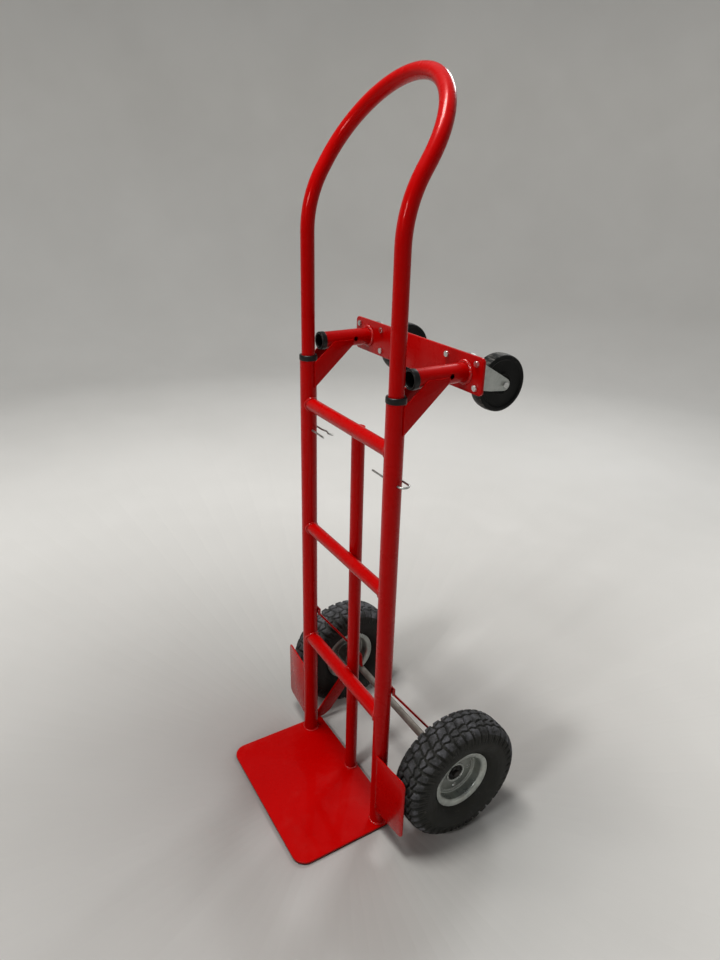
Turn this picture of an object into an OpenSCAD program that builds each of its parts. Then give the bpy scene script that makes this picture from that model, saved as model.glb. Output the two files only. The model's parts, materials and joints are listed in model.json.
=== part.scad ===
// Two-position hand truck: a welded tube frame on two pneumatic wheels, a toe plate, a loop handle
// that pulls out of the uprights, and a caster plate behind the top for use as a flat cart.
// X runs across the truck with its left side at +X, Y runs from the toe plate back to the wheels,
// Z is up, and the ground is at Z = 0 midway between the uprights. All lengths are millimetres.

/* [Frame] */
// Distance between the centres of the two uprights
upright_spacing = 300; // [290:2:320]
// Outside diameter of the uprights and of the handle sockets
upright_od = 32; // [31:0.5:34]
// Wall of every tube
tube_wall = 1.5; // [1.2:0.1:1.8]
// Height of the upper end of the uprights
upright_top = 901.5; // [895:0.5:905]
// Outside diameter of the upper two rungs and of the centre tube
rung_od = 25; // [22:0.5:26]
// Outside diameter of the bottom rung
bottom_rung_od = 28; // [26:0.5:30]
// Height of the bottom rung
bottom_rung_z = 271; // [262:1:280]
// Height of the middle rung
middle_rung_z = 549; // [540:1:560]
// Height of the top rung
top_rung_z = 817; // [805:1:820]
// How far the centre tube stands behind the uprights
centre_tube_y = 23.5; // [23:0.5:26]

/* [Toe plate] */
// Width of the toe plate
toe_width = 343; // [343:1:360]
// How far the toe plate reaches in front of the uprights
toe_front = 191.5; // [150:0.5:230]
// How far the toe plate reaches behind the uprights
toe_rear = 36; // [34:0.5:42]
// Thickness of the toe plate
toe_thickness = 5; // [3:0.5:6]
// Radius of the two front corners
toe_corner = 28; // [10:1:50]

/* [Wheel guards] */
// Width of a wheel guard, outward from its upright
guard_reach = 90; // [70:1:95]
// Height of a wheel guard
guard_height = 141; // [120:1:160]
// Height of the lower edge of a wheel guard
guard_bottom = 47; // [40:1:60]
// Angle that a wheel guard sweeps back
guard_sweep = 5; // [3:0.5:5.5]

/* [Wheels] */
// Outside radius of a tyre
tyre_r = 130; // [127:0.5:131]
// Widest part of a tyre
tyre_width = 82; // [80:1:84]
// Distance from the middle of the truck to the middle of each wheel
wheel_x = 223; // [223:0.5:228]
// How far the axle lies behind the uprights
axle_y = 133; // [132:0.5:140]
// Diameter of the axle
axle_d = 16; // [15.5:0.1:16.5]
// Radius of the rim flange
rim_r = 63; // [62:0.5:64]
// Distance from the middle of a wheel to each rim flange
rim_half_width = 25.5; // [25:0.5:26]

/* [Handle] */
// Outside diameter of the handle tube
handle_od = 25.4; // [25:0.1:25.8]
// Height at which the handle legs start to bend back
handle_bend_z = 1129; // [1100:1:1160]
// Radius of that bend, on the centre line
handle_bend_r = 194; // [120:1:220]
// Angle at which the loop leans back
handle_lean = 32; // [20:1:40]
// Height of the hitch clips, with the handle fully home
clip_z = 764.5; // [740:0.5:780]

/* [Caster plate] */
// Width of the plate that carries the casters
caster_plate_width = 390; // [385:1:400]
// Height of that plate
caster_plate_height = 62; // [60:1:70]
// How far its front face lies behind the uprights
caster_plate_y = 131.5; // [131:0.5:140]
// Height of the handle sockets and of the middle of the plate
socket_z = 935; // [934:0.5:938]
// How far the caster swivels lie from the middle of the truck
caster_x = 141; // [138:1:145]
// Radius of a caster wheel
caster_r = 50; // [48:0.5:51]
// How far a caster's axle hangs below its swivel
caster_trail = 29.5; // [29:0.5:32]

/* [Hidden] */
$fn = 64;

SIDES = ["left", "right"];
CENTRE_PARTS = [
    "toe_plate", "bottom_rung", "middle_rung", "top_rung", "centre_tube", "axle", "axle_spacers",
    "axle_washers", "cotter_pins", "caster_plate", "caster_bolts", "caster_nuts", "kingpins", "handle"
];
SIDE_PARTS = [
    "upright", "collar", "wheel_guard", "axle_strap", "axle_bracket", "gussets", "socket",
    "socket_bush", "hitch_clip", "tyre", "inner_tube", "outer_rim", "inner_rim", "hub",
    "bearings", "valve_stem", "caster_mount", "ball_race", "caster_fork", "caster_axle", "caster_wheel"
];

red = "firebrick";
zinc = "silver";
steel = "gray";
black = "#202224";

// Frame tubes
half_track = upright_spacing / 2;
upright_r = upright_od / 2;
socket_front = 33;
pin_hole_r = 4.5;

// Plastic rings that line the uprights and the sockets, and guide the handle legs
bush_flange_r = upright_r + 1;
bush_flange_h = 10.5;
bush_sleeve = 40;
handle_play = 0.05;

// Wheel guards
guard_thickness = 2.5;
guard_corner = 12;
guard_foot = -50;

// Axle supports
axle_z = tyre_r;
axle_r = axle_d / 2;
strap_width = 25;
strap_thickness = 4;
strap_top = 341;
strap_bend = 327;
strap_knee = [axle_y - 3, axle_z + 43];
bracket_width = 32;
bracket_thickness = 5;
bracket_x = toe_width / 2 - bracket_thickness;

// Gusset plates between an upright and its socket
gusset_offset = 15;
gusset_thickness = 3;
gusset_front_y = 4.5;
gusset_foot_z = 850;
gusset_front_z = 898;
gusset_top_y = 48;
gusset_rear_y = 90;

// Main wheels, measured from the middle plane of a wheel with outward positive
rim_sheet = 2;
bead_r = 51.6;
rim_dish_r = 41;
hub_r = 20.5;
hub_bore_r = 17.5;
hub_outer = 3;
hub_inner = -42;
bearing_width = 11;
bearing_bore_r = axle_r + 0.05;
bearing_gap = 0.4;
rim_hole_circle = 33;
rim_hole_r = 3.5;
carcass_offset = 7;
carcass_centre = 95;
carcass_outer = tyre_width / 2 - carcass_offset;
axle_end = wheel_x + 9;
washer_x = wheel_x + bearing_gap;
washer_thickness = 2;
cotter_r = 1.6;
cotter_x = washer_x + washer_thickness + cotter_r + 0.5;

// Hitch clips, drawn across the truck from the middle of an upright
clip_wire = 3.6;
clip_tip = -63;
clip_eye = [17.5, 9.6];
clip_hole_r = 2.6;
clip_gap = 0.7;
clip_swell = 0.2;

// Handle
handle_r = handle_od / 2;
leg_bottom = clip_z - 16;
leg_straight = 15;
weld_gap = 0.5;
weld_height = 0.03;
arch_r = half_track;

// Casters
plate_thickness = 5;
caster_plate_back = caster_plate_y + plate_thickness;
mount_thickness = 3;
race_y = caster_plate_back + 9.5;
crown_y = race_y + 6;
crown_thickness = 3;
caster_axle_y = caster_plate_back + 76.5;
caster_axle_z = socket_z - caster_trail;
fork_gap = 16;
fork_sheet = 3;
kingpin_r = 5;
bolt_span_x = 39;
bolt_span_z = 19.5;
bolt_r = 3;
hex_r = 5.8;
head_height = 4;
nut_height = 5.2;

// Outline of a bent sheet: the points of its middle line, thickened to both sides
function unit(v) = v / norm(v);
function normal(v) = [-v[1], v[0]];
function corner(points, i, t) =
    let (
        last = len(points) - 1,
        before = unit(i == 0 ? points[1] - points[0] : points[i] - points[i - 1]),
        after = unit(i == last ? points[last] - points[last - 1] : points[i + 1] - points[i]),
        mitre = unit(normal(before) + normal(after))
    )
    points[i] + mitre * t / 2 / (mitre * normal(before));
function thicken(points, t) = concat(
    [for (i = [0 : len(points) - 1]) corner(points, i, t)],
    [for (i = [len(points) - 1 : -1 : 0]) corner(points, i, -t)]
);

// Outline that is the same on both sides of the middle plane, from the points of one side
function both_ways(points) = concat(
    points,
    [for (i = [len(points) - 1 : -1 : 0]) [points[i][0], -points[i][1]]]
);

module on_side(side) {
    if (side == "left") {
        children();
    } else {
        mirror([1, 0, 0]) children();
    }
}

module both_sides() {
    for (side = SIDES) {
        on_side(side) children();
    }
}

// A round bar along X, Y or Z from one coordinate to the other
module bar_x(r, from, to) {
    translate([from, 0, 0]) rotate([0, 90, 0]) cylinder(r = r, h = to - from);
}

module bar_y(r, from, to) {
    translate([0, to, 0]) rotate([90, 0, 0]) cylinder(r = r, h = to - from);
}

module bar_z(r, from, to) {
    translate([0, 0, from]) cylinder(r = r, h = to - from);
}

// A flat plate whose outline is drawn in Y and Z, from x to x + t
module plate_x(x, t) {
    translate([x, 0, 0]) rotate([90, 0, 90]) linear_extrude(t) children();
}

module upright_axis() {
    translate([half_track, 0, 0]) children();
}

module socket_axis() {
    translate([half_track, 0, socket_z]) children();
}

module axle_axis() {
    translate([0, axle_y, axle_z]) children();
}

module swivel_axis() {
    translate([caster_x, 0, socket_z]) children();
}

module clip_axis() {
    translate([half_track, 0, clip_z]) children();
}

// Places a shape drawn from the middle plane of a wheel, outward positive
module wheel_middle() {
    translate([wheel_x, axle_y, axle_z]) children();
}

// Turns an outline drawn in radius and distance outward about the wheel's own axis
module turned() {
    rotate([0, 90, 0]) rotate_extrude() children();
}

module upright_solid() {
    bar_z(upright_r, toe_thickness, upright_top);
}

module rung(r, z) {
    color(red) difference() {
        translate([0, 0, z]) bar_x(r, -half_track, half_track);
        translate([0, 0, z]) bar_x(r - tube_wall, -half_track - 1, half_track + 1);
        both_sides() upright_axis() upright_solid();
    }
}

module bottom_rung() {
    rung(bottom_rung_od / 2, bottom_rung_z);
}

module middle_rung() {
    rung(rung_od / 2, middle_rung_z);
}

module top_rung() {
    rung(rung_od / 2, top_rung_z);
}

module centre_tube() {
    r = rung_od / 2;
    top = top_rung_z - 5.5;
    color(red) difference() {
        translate([0, centre_tube_y, 0]) bar_z(r, toe_thickness, top);
        translate([0, centre_tube_y, 0]) bar_z(r - tube_wall, toe_thickness - 1, top - tube_wall);
        translate([0, 0, bottom_rung_z]) bar_x(bottom_rung_od / 2, -half_track, half_track);
        translate([0, 0, middle_rung_z]) bar_x(r, -half_track, half_track);
        translate([0, 0, top_rung_z]) bar_x(r, -half_track, half_track);
    }
}

module upright() {
    color(red) upright_axis() difference() {
        upright_solid();
        bar_z(upright_r - tube_wall, 0, upright_top + 1);
        translate([0, 0, clip_z]) bar_x(clip_hole_r, -upright_r - 1, upright_r + 1);
    }
}

module toe_outline() {
    half = toe_width / 2;
    shoulder = toe_corner - toe_front;
    union() {
        translate([-half, shoulder]) square([toe_width, toe_rear - shoulder]);
        translate([toe_corner - half, -toe_front]) square([toe_width - 2 * toe_corner, toe_corner + 1]);
        for (x = [toe_corner - half, half - toe_corner]) {
            translate([x, shoulder]) circle(toe_corner);
        }
    }
}

module toe_plate() {
    color(red) linear_extrude(toe_thickness) toe_outline();
}

// Rectangle whose two outer corners are rounded
module guard_outline() {
    union() {
        square([guard_reach - guard_corner, guard_height]);
        translate([0, guard_corner]) square([guard_reach, guard_height - 2 * guard_corner]);
        for (z = [guard_corner, guard_height - guard_corner]) {
            translate([guard_reach - guard_corner, z]) circle(guard_corner);
        }
    }
}

module wheel_guard() {
    foot = [upright_r * cos(guard_foot), upright_r * sin(guard_foot)];
    color(red) difference() {
        translate([half_track + foot[0], foot[1], guard_bottom])
            rotate([0, 0, guard_sweep])
            rotate([90, 0, 0])
            translate([-4, 0, -guard_thickness / 2])
            linear_extrude(guard_thickness) guard_outline();
        upright_axis() upright_solid();
    }
}

// Flat strap from the back of an upright down to the top of the axle
module axle_strap() {
    y = upright_r + strap_thickness / 2;
    line = [[y, strap_top], [y, strap_bend], strap_knee, [axle_y, axle_z + 4]];
    color(red) difference() {
        plate_x(half_track - strap_width / 2, strap_width) polygon(thicken(line, strap_thickness));
        axle_axis() bar_x(axle_r, half_track - strap_width, half_track + strap_width);
    }
}

// Flat bar on edge from the rear corner of the toe plate up to the axle, which runs through it
module axle_bracket() {
    foot = [toe_rear - 3, toe_thickness];
    line = [axle_y, axle_z] - foot;
    angle = atan2(line[1], line[0]);
    color(red) difference() {
        plate_x(bracket_x, bracket_thickness) difference() {
            union() {
                translate([axle_y, axle_z]) circle(bracket_width / 2);
                translate(foot) rotate(angle) translate([-30, -bracket_width / 2])
                    square([norm(line) + 30, bracket_width]);
            }
            translate([-50, toe_thickness - 60]) square([150, 60]);
            translate([toe_rear + 8, toe_thickness]) polygon([[0, 0], [18, 10], [18, -30], [0, -30]]);
        }
        axle_axis() bar_x(axle_r, bracket_x - 1, bracket_x + bracket_thickness + 1);
    }
}

module axle() {
    color(steel) axle_axis() difference() {
        bar_x(axle_r, -axle_end, axle_end);
        both_sides() translate([cotter_x, 0, 0]) bar_z(cotter_r, -axle_r - 1, axle_r + 1);
    }
}

module ring_x(r_outer, r_inner, from, to) {
    difference() {
        bar_x(r_outer, from, to);
        bar_x(r_inner, from - 1, to + 1);
    }
}

// Sleeves on the axle between the brackets and the wheel bearings
module axle_spacers() {
    inner_face = wheel_x + hub_inner + 1 - bearing_gap;
    color(zinc) both_sides() axle_axis() ring_x(11, axle_r, bracket_x + bracket_thickness, inner_face);
}

module axle_washers() {
    color(zinc) both_sides() axle_axis() ring_x(12, axle_r, washer_x, washer_x + washer_thickness);
}

module cotter_pins() {
    color(zinc) both_sides() axle_axis() translate([cotter_x, 0, 0]) {
        bar_z(cotter_r, -axle_r - 5, axle_r + 3);
        translate([0, 0, axle_r + 4.2]) rotate([0, 90, 0]) rotate_extrude() translate([2.2, 0]) circle(1.2);
    }
}

// Two plates, one each side of the corner between an upright and its socket
module gussets() {
    outline = [
        [gusset_front_y, gusset_foot_z],
        [gusset_front_y, gusset_front_z],
        [gusset_top_y, socket_z],
        [gusset_rear_y, socket_z],
        [gusset_rear_y - 2, socket_z - 10]
    ];
    color(red) upright_axis() difference() {
        for (x = [gusset_offset, -gusset_offset - gusset_thickness]) {
            plate_x(x, gusset_thickness) polygon(outline);
        }
        bar_z(upright_r, toe_thickness, upright_top);
        translate([0, 0, socket_z]) bar_y(upright_r, socket_front, caster_plate_y);
    }
}

module socket() {
    color(red) socket_axis() difference() {
        bar_y(upright_r, socket_front, caster_plate_y);
        bar_y(upright_r - tube_wall, socket_front - 1, caster_plate_y + 1);
        translate([0, socket_front + 62, 0]) bar_x(pin_hole_r, -upright_r - 1, upright_r + 1);
    }
}

// A flanged ring with its flange on Z = 0 and its sleeve below
module bush() {
    difference() {
        union() {
            cylinder(r = bush_flange_r, h = bush_flange_h);
            translate([0, 0, -bush_sleeve]) cylinder(r = upright_r - tube_wall, h = bush_sleeve);
        }
        translate([0, 0, -bush_sleeve - 1])
            cylinder(r = handle_r + handle_play, h = bush_sleeve + bush_flange_h + 2);
    }
}

module collar() {
    color(black) upright_axis() translate([0, 0, upright_top]) bush();
}

module socket_bush() {
    color(black) socket_axis() translate([0, socket_front, 0]) rotate([90, 0, 0]) bush();
}

// A handle tube bent round part of a circle that starts along Z and turns towards -X
module handle_bend(r_bend, angle) {
    trim = weld_gap / r_bend * 180 / PI;
    translate([-r_bend, 0, 0]) rotate([90, 0, 0]) rotate([0, 0, trim])
        rotate_extrude(angle = angle - 2 * trim) translate([r_bend, 0]) difference() {
            circle(handle_r);
            circle(handle_r - tube_wall);
        }
}

module handle_leg(from, to) {
    difference() {
        bar_z(handle_r, from, to);
        bar_z(handle_r - tube_wall, from - 1, to + 1);
    }
}

// Low butt weld where two lengths of handle tube meet
module handle_weld() {
    difference() {
        bar_z(handle_r + weld_height, -weld_gap - 1, weld_gap + 1);
        bar_z(handle_r - tube_wall - weld_height, -weld_gap - 2, weld_gap + 2);
    }
}

module handle_tube() {
    both_sides() upright_axis() {
        handle_leg(leg_bottom, handle_bend_z - weld_gap);
        translate([0, 0, handle_bend_z]) handle_weld();
        translate([0, 0, handle_bend_z]) rotate([0, 0, -90]) handle_bend(handle_bend_r, handle_lean);
    }
    translate([0, handle_bend_r, handle_bend_z]) rotate([-handle_lean, 0, 0]) {
        translate([0, -handle_bend_r, 0]) {
            both_sides() upright_axis() {
                handle_weld();
                handle_leg(weld_gap, leg_straight - weld_gap);
                translate([0, 0, leg_straight]) handle_weld();
            }
            translate([half_track, 0, leg_straight]) handle_bend(arch_r, 180);
        }
    }
}

// Loop handle, with a slot in the foot of each leg that drops over the hitch clip
module handle() {
    color(red) difference() {
        handle_tube();
        both_sides() clip_axis() translate([-handle_r - 1, -clip_hole_r, -40])
            cube([2 * handle_r + 2, 2 * clip_hole_r, 40 + clip_hole_r]);
    }
}

// Wire that runs straight from each point to the next, with a square knuckle at each turn
module wire(points, r) {
    for (i = [0 : len(points) - 2]) {
        step = points[i + 1] - points[i];
        translate([points[i][0], points[i][1], 0])
            rotate([0, 0, atan2(step[1], step[0])]) bar_x(r, clip_gap, norm(step) - clip_gap);
    }
    for (i = [1 : len(points) - 2]) {
        translate([points[i][0], points[i][1], 0]) cube(2 * r + 1.2, center = true);
    }
}

module hitch_clip() {
    r = clip_wire / 2;
    eye_r = clip_eye[1];
    leg_start = [clip_eye[0] + 2 * clip_gap, 2 * eye_r];
    spring_leg = [leg_start, [-20, 2 * eye_r], [-32, 23], [-44, 19], [-57, 23.5]];
    color(zinc) clip_axis() union() {
        bar_x(r, clip_tip, clip_eye[0] + clip_gap);
        wire(spring_leg, r);
        translate([clip_eye[0], eye_r, 0]) rotate([0, 0, -90])
            rotate_extrude(angle = 180) translate([eye_r, 0]) circle(r + clip_swell);
    }
}

// Tyre outline in radius and distance from the middle, with its hollow open at the beads
module tyre_outline() {
    tread = [[100, 40], [112, 40.2], [119, 38], [124.5, 34.5], [128.5, 29], [tyre_r, 23]];
    bead = [[bead_r + 1.2, 19], [64, 19.5], [72, 31]];
    hollow = [[bead_r, 12], [66, 12], [71, 25], [85, 34], [105, 34], [119, 25], [123, 8]];
    difference() {
        union() {
            for (s = [-1, 1]) {
                translate([carcass_centre, s * carcass_offset]) circle(carcass_outer);
            }
            polygon(both_ways(tread));
            polygon(both_ways(bead));
        }
        polygon(both_ways(hollow));
    }
}

module tyre() {
    color(black) wheel_middle() turned() tyre_outline();
}

// Air tube inside the tyre
module inner_tube() {
    tube_r = 27;
    color(black) wheel_middle() turned() translate([carcass_centre - 1, 0]) difference() {
        circle(tube_r);
        circle(tube_r - 2);
    }
}

// Pressed rim half: disc, step, well, bead seat and flange
module rim_half() {
    sheet = [
        [hub_r, rim_sheet / 2],
        [rim_dish_r, rim_sheet / 2],
        [rim_dish_r + 2.5, 2.8],
        [bead_r - 2, 3],
        [bead_r, 6],
        [bead_r, rim_half_width - 5.5],
        [bead_r + 2.5, rim_half_width - 3],
        [rim_r, rim_half_width - 0.5]
    ];
    difference() {
        turned() polygon(thicken(sheet, rim_sheet));
        for (a = [0 : 90 : 270]) {
            rotate([a, 0, 0]) translate([0, rim_hole_circle, 0]) bar_x(rim_hole_r, -1, rim_sheet + 1);
        }
    }
}

module valve_place() {
    rotate([120, 0, 0]) translate([14, bead_r - rim_sheet / 2, 0]) rotate([90, 0, 0]) children();
}

module outer_rim() {
    color(zinc) wheel_middle() difference() {
        rim_half();
        valve_place() translate([0, 0, -6]) cylinder(r = 4, h = 12);
    }
}

module inner_rim() {
    color(zinc) wheel_middle() mirror([1, 0, 0]) rim_half();
}

module hub() {
    color(zinc) wheel_middle() ring_x(hub_r, hub_bore_r, hub_inner, hub_outer);
}

// A sealed ball bearing from its inner face at X = 0
module bearing() {
    race = 2.6;
    ball_r = 2.2;
    pitch_r = (hub_bore_r + bearing_bore_r) / 2;
    ring_x(hub_bore_r, hub_bore_r - race, 0, bearing_width);
    ring_x(bearing_bore_r + race, bearing_bore_r, 0, bearing_width);
    for (x = [0.4, bearing_width - 1.2]) {
        ring_x(hub_bore_r - race, bearing_bore_r + race, x, x + 0.8);
    }
    for (a = [0 : 45 : 315]) {
        rotate([a, 0, 0]) translate([bearing_width / 2, pitch_r, 0]) sphere(ball_r);
    }
}

module bearings() {
    color(steel) wheel_middle() {
        translate([-bearing_width, 0, 0]) bearing();
        translate([hub_inner + 1, 0, 0]) bearing();
    }
}

module valve_stem() {
    color(black) wheel_middle() valve_place() {
        translate([0, 0, -2]) cylinder(r = 4, h = 3);
        translate([0, 0, 1]) cylinder(r = 5.5, h = 3);
        translate([0, 0, 4]) cylinder(r = 3.4, h = 9);
        translate([0, 0, 13]) cylinder(r = 4.2, h = 7);
    }
}

// The four places of a caster's bolts
module at_bolts() {
    swivel_axis() for (x = [-bolt_span_x, bolt_span_x], z = [-bolt_span_z, bolt_span_z]) {
        translate([x, 0, z]) children();
    }
}

module rounded_plate(width, height, r) {
    union() {
        square([width - 2 * r, height], center = true);
        square([width, height - 2 * r], center = true);
        for (x = [-1, 1], y = [-1, 1]) {
            translate([x * (width / 2 - r), y * (height / 2 - r)]) circle(r);
        }
    }
}

// A flat plate whose outline is drawn in X and Z, from y to y + t
module plate_y(y, t) {
    translate([0, y + t, 0]) rotate([90, 0, 0]) linear_extrude(t) children();
}

module caster_plate() {
    color(red) difference() {
        translate([0, 0, socket_z]) plate_y(caster_plate_y, plate_thickness)
            rounded_plate(caster_plate_width, caster_plate_height, 8);
        both_sides() at_bolts() bar_y(bolt_r, caster_plate_y - 1, caster_plate_back + 1);
    }
}

module caster_bolts() {
    color(zinc) both_sides() at_bolts() {
        bar_y(bolt_r, caster_plate_y, caster_plate_back + mount_thickness + nut_height + 3);
        translate([0, caster_plate_y, 0]) rotate([90, 0, 0]) cylinder(r = hex_r, h = head_height, $fn = 6);
    }
}

module caster_nuts() {
    y = caster_plate_back + mount_thickness;
    color(zinc) both_sides() at_bolts() difference() {
        translate([0, y + nut_height, 0]) rotate([90, 0, 0]) cylinder(r = hex_r, h = nut_height, $fn = 6);
        bar_y(bolt_r, y - 1, y + nut_height + 1);
    }
}

// Top plate of a caster with the raised seat of its ball race
module caster_mount() {
    color(zinc) difference() {
        union() {
            swivel_axis() plate_y(caster_plate_back, mount_thickness) rounded_plate(98, 58, 6);
            swivel_axis() bar_y(22, caster_plate_back + mount_thickness, race_y);
        }
        at_bolts() bar_y(bolt_r, caster_plate_back - 1, caster_plate_back + mount_thickness + 1);
        swivel_axis() bar_y(kingpin_r, caster_plate_back - 1, race_y + 1);
    }
}

// Rivets that the caster forks turn on
module kingpins() {
    head_y = crown_y + crown_thickness + 0.4;
    color(zinc) both_sides() swivel_axis() {
        bar_y(kingpin_r, caster_plate_back, head_y);
        bar_y(9, head_y, head_y + 3);
    }
}

module ball_race() {
    ball_r = 2.8;
    color(steel) swivel_axis() for (a = [0 : 30 : 330]) {
        rotate([0, a, 0]) translate([17, crown_y - ball_r, 0]) sphere(ball_r);
    }
}

// Side of a caster fork, drawn in Y and Z
module fork_side() {
    tip_r = 10.5;
    union() {
        translate([caster_axle_y, caster_axle_z]) circle(tip_r);
        polygon([
            [crown_y, caster_axle_z - 1.5],
            [crown_y, socket_z + 17],
            [crown_y + 8, socket_z + 14],
            [caster_axle_y + tip_r * sin(28), caster_axle_z + tip_r * cos(28)],
            [caster_axle_y - tip_r * sin(5), caster_axle_z - tip_r * cos(5)]
        ]);
    }
}

module caster_fork() {
    outer = fork_gap + fork_sheet;
    dish_r = 28;
    color(zinc) difference() {
        union() {
            swivel_axis() bar_y(dish_r, race_y + 1, crown_y + crown_thickness);
            translate([caster_x - outer, crown_y, caster_axle_z - 1.5])
                cube([2 * outer, crown_thickness, caster_trail + 1.5]);
            for (x = [caster_x - outer, caster_x + fork_gap]) {
                plate_x(x, fork_sheet) fork_side();
            }
        }
        swivel_axis() bar_y(dish_r - 3, race_y, crown_y);
        swivel_axis() bar_y(kingpin_r + handle_play, race_y, crown_y + crown_thickness + 1);
        translate([caster_x, caster_axle_y, caster_axle_z]) bar_x(bolt_r, -outer - 1, outer + 1);
    }
}

// Bolt, nut and bush that carry a caster wheel
module caster_axle() {
    outer = fork_gap + fork_sheet;
    color(zinc) translate([caster_x, caster_axle_y, caster_axle_z]) {
        bar_x(bolt_r, -outer - nut_height - 2, outer);
        translate([outer, 0, 0]) rotate([0, 90, 0]) cylinder(r = hex_r, h = head_height, $fn = 6);
        translate([-outer - nut_height, 0, 0]) rotate([0, 90, 0]) difference() {
            cylinder(r = hex_r, h = nut_height, $fn = 6);
            translate([0, 0, -1]) cylinder(r = bolt_r, h = nut_height + 2);
        }
        ring_x(6, bolt_r, -fork_gap, fork_gap);
    }
}

module caster_wheel() {
    half = 14;
    edge = 4;
    bore_r = 6 + handle_play;
    color(black) translate([caster_x, caster_axle_y, caster_axle_z]) turned() union() {
        translate([bore_r, -half - 1.2]) square([11 - bore_r, 2 * half + 2.4]);
        translate([bore_r, -half + 3]) square([caster_r - edge - bore_r, 2 * half - 6]);
        translate([38, -half]) square([caster_r - edge - 38, 2 * half]);
        translate([38, -half + edge]) square([caster_r - 38, 2 * (half - edge)]);
        for (s = [-1, 1]) {
            translate([caster_r - edge, s * (half - edge)]) circle(edge);
            translate([11, s * (half - 4)]) square([10, 6], center = true);
        }
    }
}

toe_plate();
bottom_rung();
middle_rung();
top_rung();
centre_tube();
axle();
axle_spacers();
axle_washers();
cotter_pins();
caster_plate();
caster_bolts();
caster_nuts();
kingpins();
handle();

for (side = SIDES) {
    on_side(side) upright();
    on_side(side) collar();
    on_side(side) wheel_guard();
    on_side(side) axle_strap();
    on_side(side) axle_bracket();
    on_side(side) gussets();
    on_side(side) socket();
    on_side(side) socket_bush();
    on_side(side) hitch_clip();
    on_side(side) tyre();
    on_side(side) inner_tube();
    on_side(side) outer_rim();
    on_side(side) inner_rim();
    on_side(side) hub();
    on_side(side) bearings();
    on_side(side) valve_stem();
    on_side(side) caster_mount();
    on_side(side) ball_race();
    on_side(side) caster_fork();
    on_side(side) caster_axle();
    on_side(side) caster_wheel();
}
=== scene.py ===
"""Looks of a two-position hand truck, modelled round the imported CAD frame.

Lengths are in millimetres, and MM turns them into metres where a mesh is made.
"""
import json
from math import acos, atan2, cos, hypot, pi, radians, sin, sqrt, tan

import bmesh
import bpy
import numpy as np
from mathutils import Matrix, Vector


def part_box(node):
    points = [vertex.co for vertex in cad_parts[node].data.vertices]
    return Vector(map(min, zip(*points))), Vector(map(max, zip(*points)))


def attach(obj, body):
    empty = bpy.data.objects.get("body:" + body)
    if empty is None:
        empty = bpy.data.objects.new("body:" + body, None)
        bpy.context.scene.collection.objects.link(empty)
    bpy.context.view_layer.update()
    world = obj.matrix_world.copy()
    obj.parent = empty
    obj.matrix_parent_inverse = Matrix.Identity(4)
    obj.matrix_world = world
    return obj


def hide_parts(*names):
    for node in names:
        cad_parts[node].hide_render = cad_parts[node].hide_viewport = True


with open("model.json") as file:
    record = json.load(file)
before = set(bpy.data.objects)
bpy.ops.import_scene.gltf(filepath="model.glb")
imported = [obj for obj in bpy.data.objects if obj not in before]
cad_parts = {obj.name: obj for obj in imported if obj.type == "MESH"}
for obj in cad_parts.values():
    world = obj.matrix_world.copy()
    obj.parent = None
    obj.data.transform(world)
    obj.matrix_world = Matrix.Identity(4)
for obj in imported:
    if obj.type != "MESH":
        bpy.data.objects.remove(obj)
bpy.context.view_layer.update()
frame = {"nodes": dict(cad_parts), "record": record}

MM = 0.001
SIDES = {"left": 1, "right": -1}


def box_mm(node):
    """Lowest and highest corner of a CAD node, in millimetres."""
    low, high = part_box(node)
    return np.array(low) / MM, np.array(high) / MM


def middle(node):
    low, high = box_mm(node)
    return (low + high) / 2


def extent(node):
    low, high = box_mm(node)
    return high - low


# ---------------- places taken from the frame
TRACK = middle("left_upright")[0]
UPRIGHT_R = extent("left_upright")[0] / 2
UPRIGHT_TOP = box_mm("left_upright")[1][2]
TOE_LOW, TOE_HIGH = box_mm("toe_plate")
PLATE_LOW, PLATE_HIGH = box_mm("caster_plate")
SOCKET_FRONT = box_mm("left_socket")[0][1]
SOCKET_Z = middle("left_socket")[2]
WHEEL_X, AXLE_Y, AXLE_Z = middle("left_tyre")
TYRE_R, TYRE_HALF = extent("left_tyre")[2] / 2, extent("left_tyre")[0] / 2
CASTER_CENTRE = CASTER_X, CASTER_Y, CASTER_Z = middle("left_caster_wheel")
CASTER_PIVOT = (CASTER_X, 0, SOCKET_Z)
CASTER_R = extent("left_caster_wheel")[2] / 2

# ---------------- sizes that pieces share
SHARP = 38  # degrees between two faces that makes an edge sharp
STRAP_TOP, STRAP_BEND = 341, 327  # heights of the axle strap's upper end
TOP_PLATE = 3  # thickness of a caster's top plate
BOLT_X, BOLT_Z = 39, 19.5  # caster plate bolts, from the kingpin
HEAD_R, HEAD_HEIGHT = 5.6, 3.9  # hexagons are measured to their corners
NUT_R, NUT_HEIGHT, NUT_BORE = 5.7, 5.1, 2.9
SHANK_R = 2.95
HAIR = 0.02  # radius of the bore that a turned solid has on its axis
KINGPIN_R, KINGPIN_BORE = 4.95, 5.2


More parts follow.
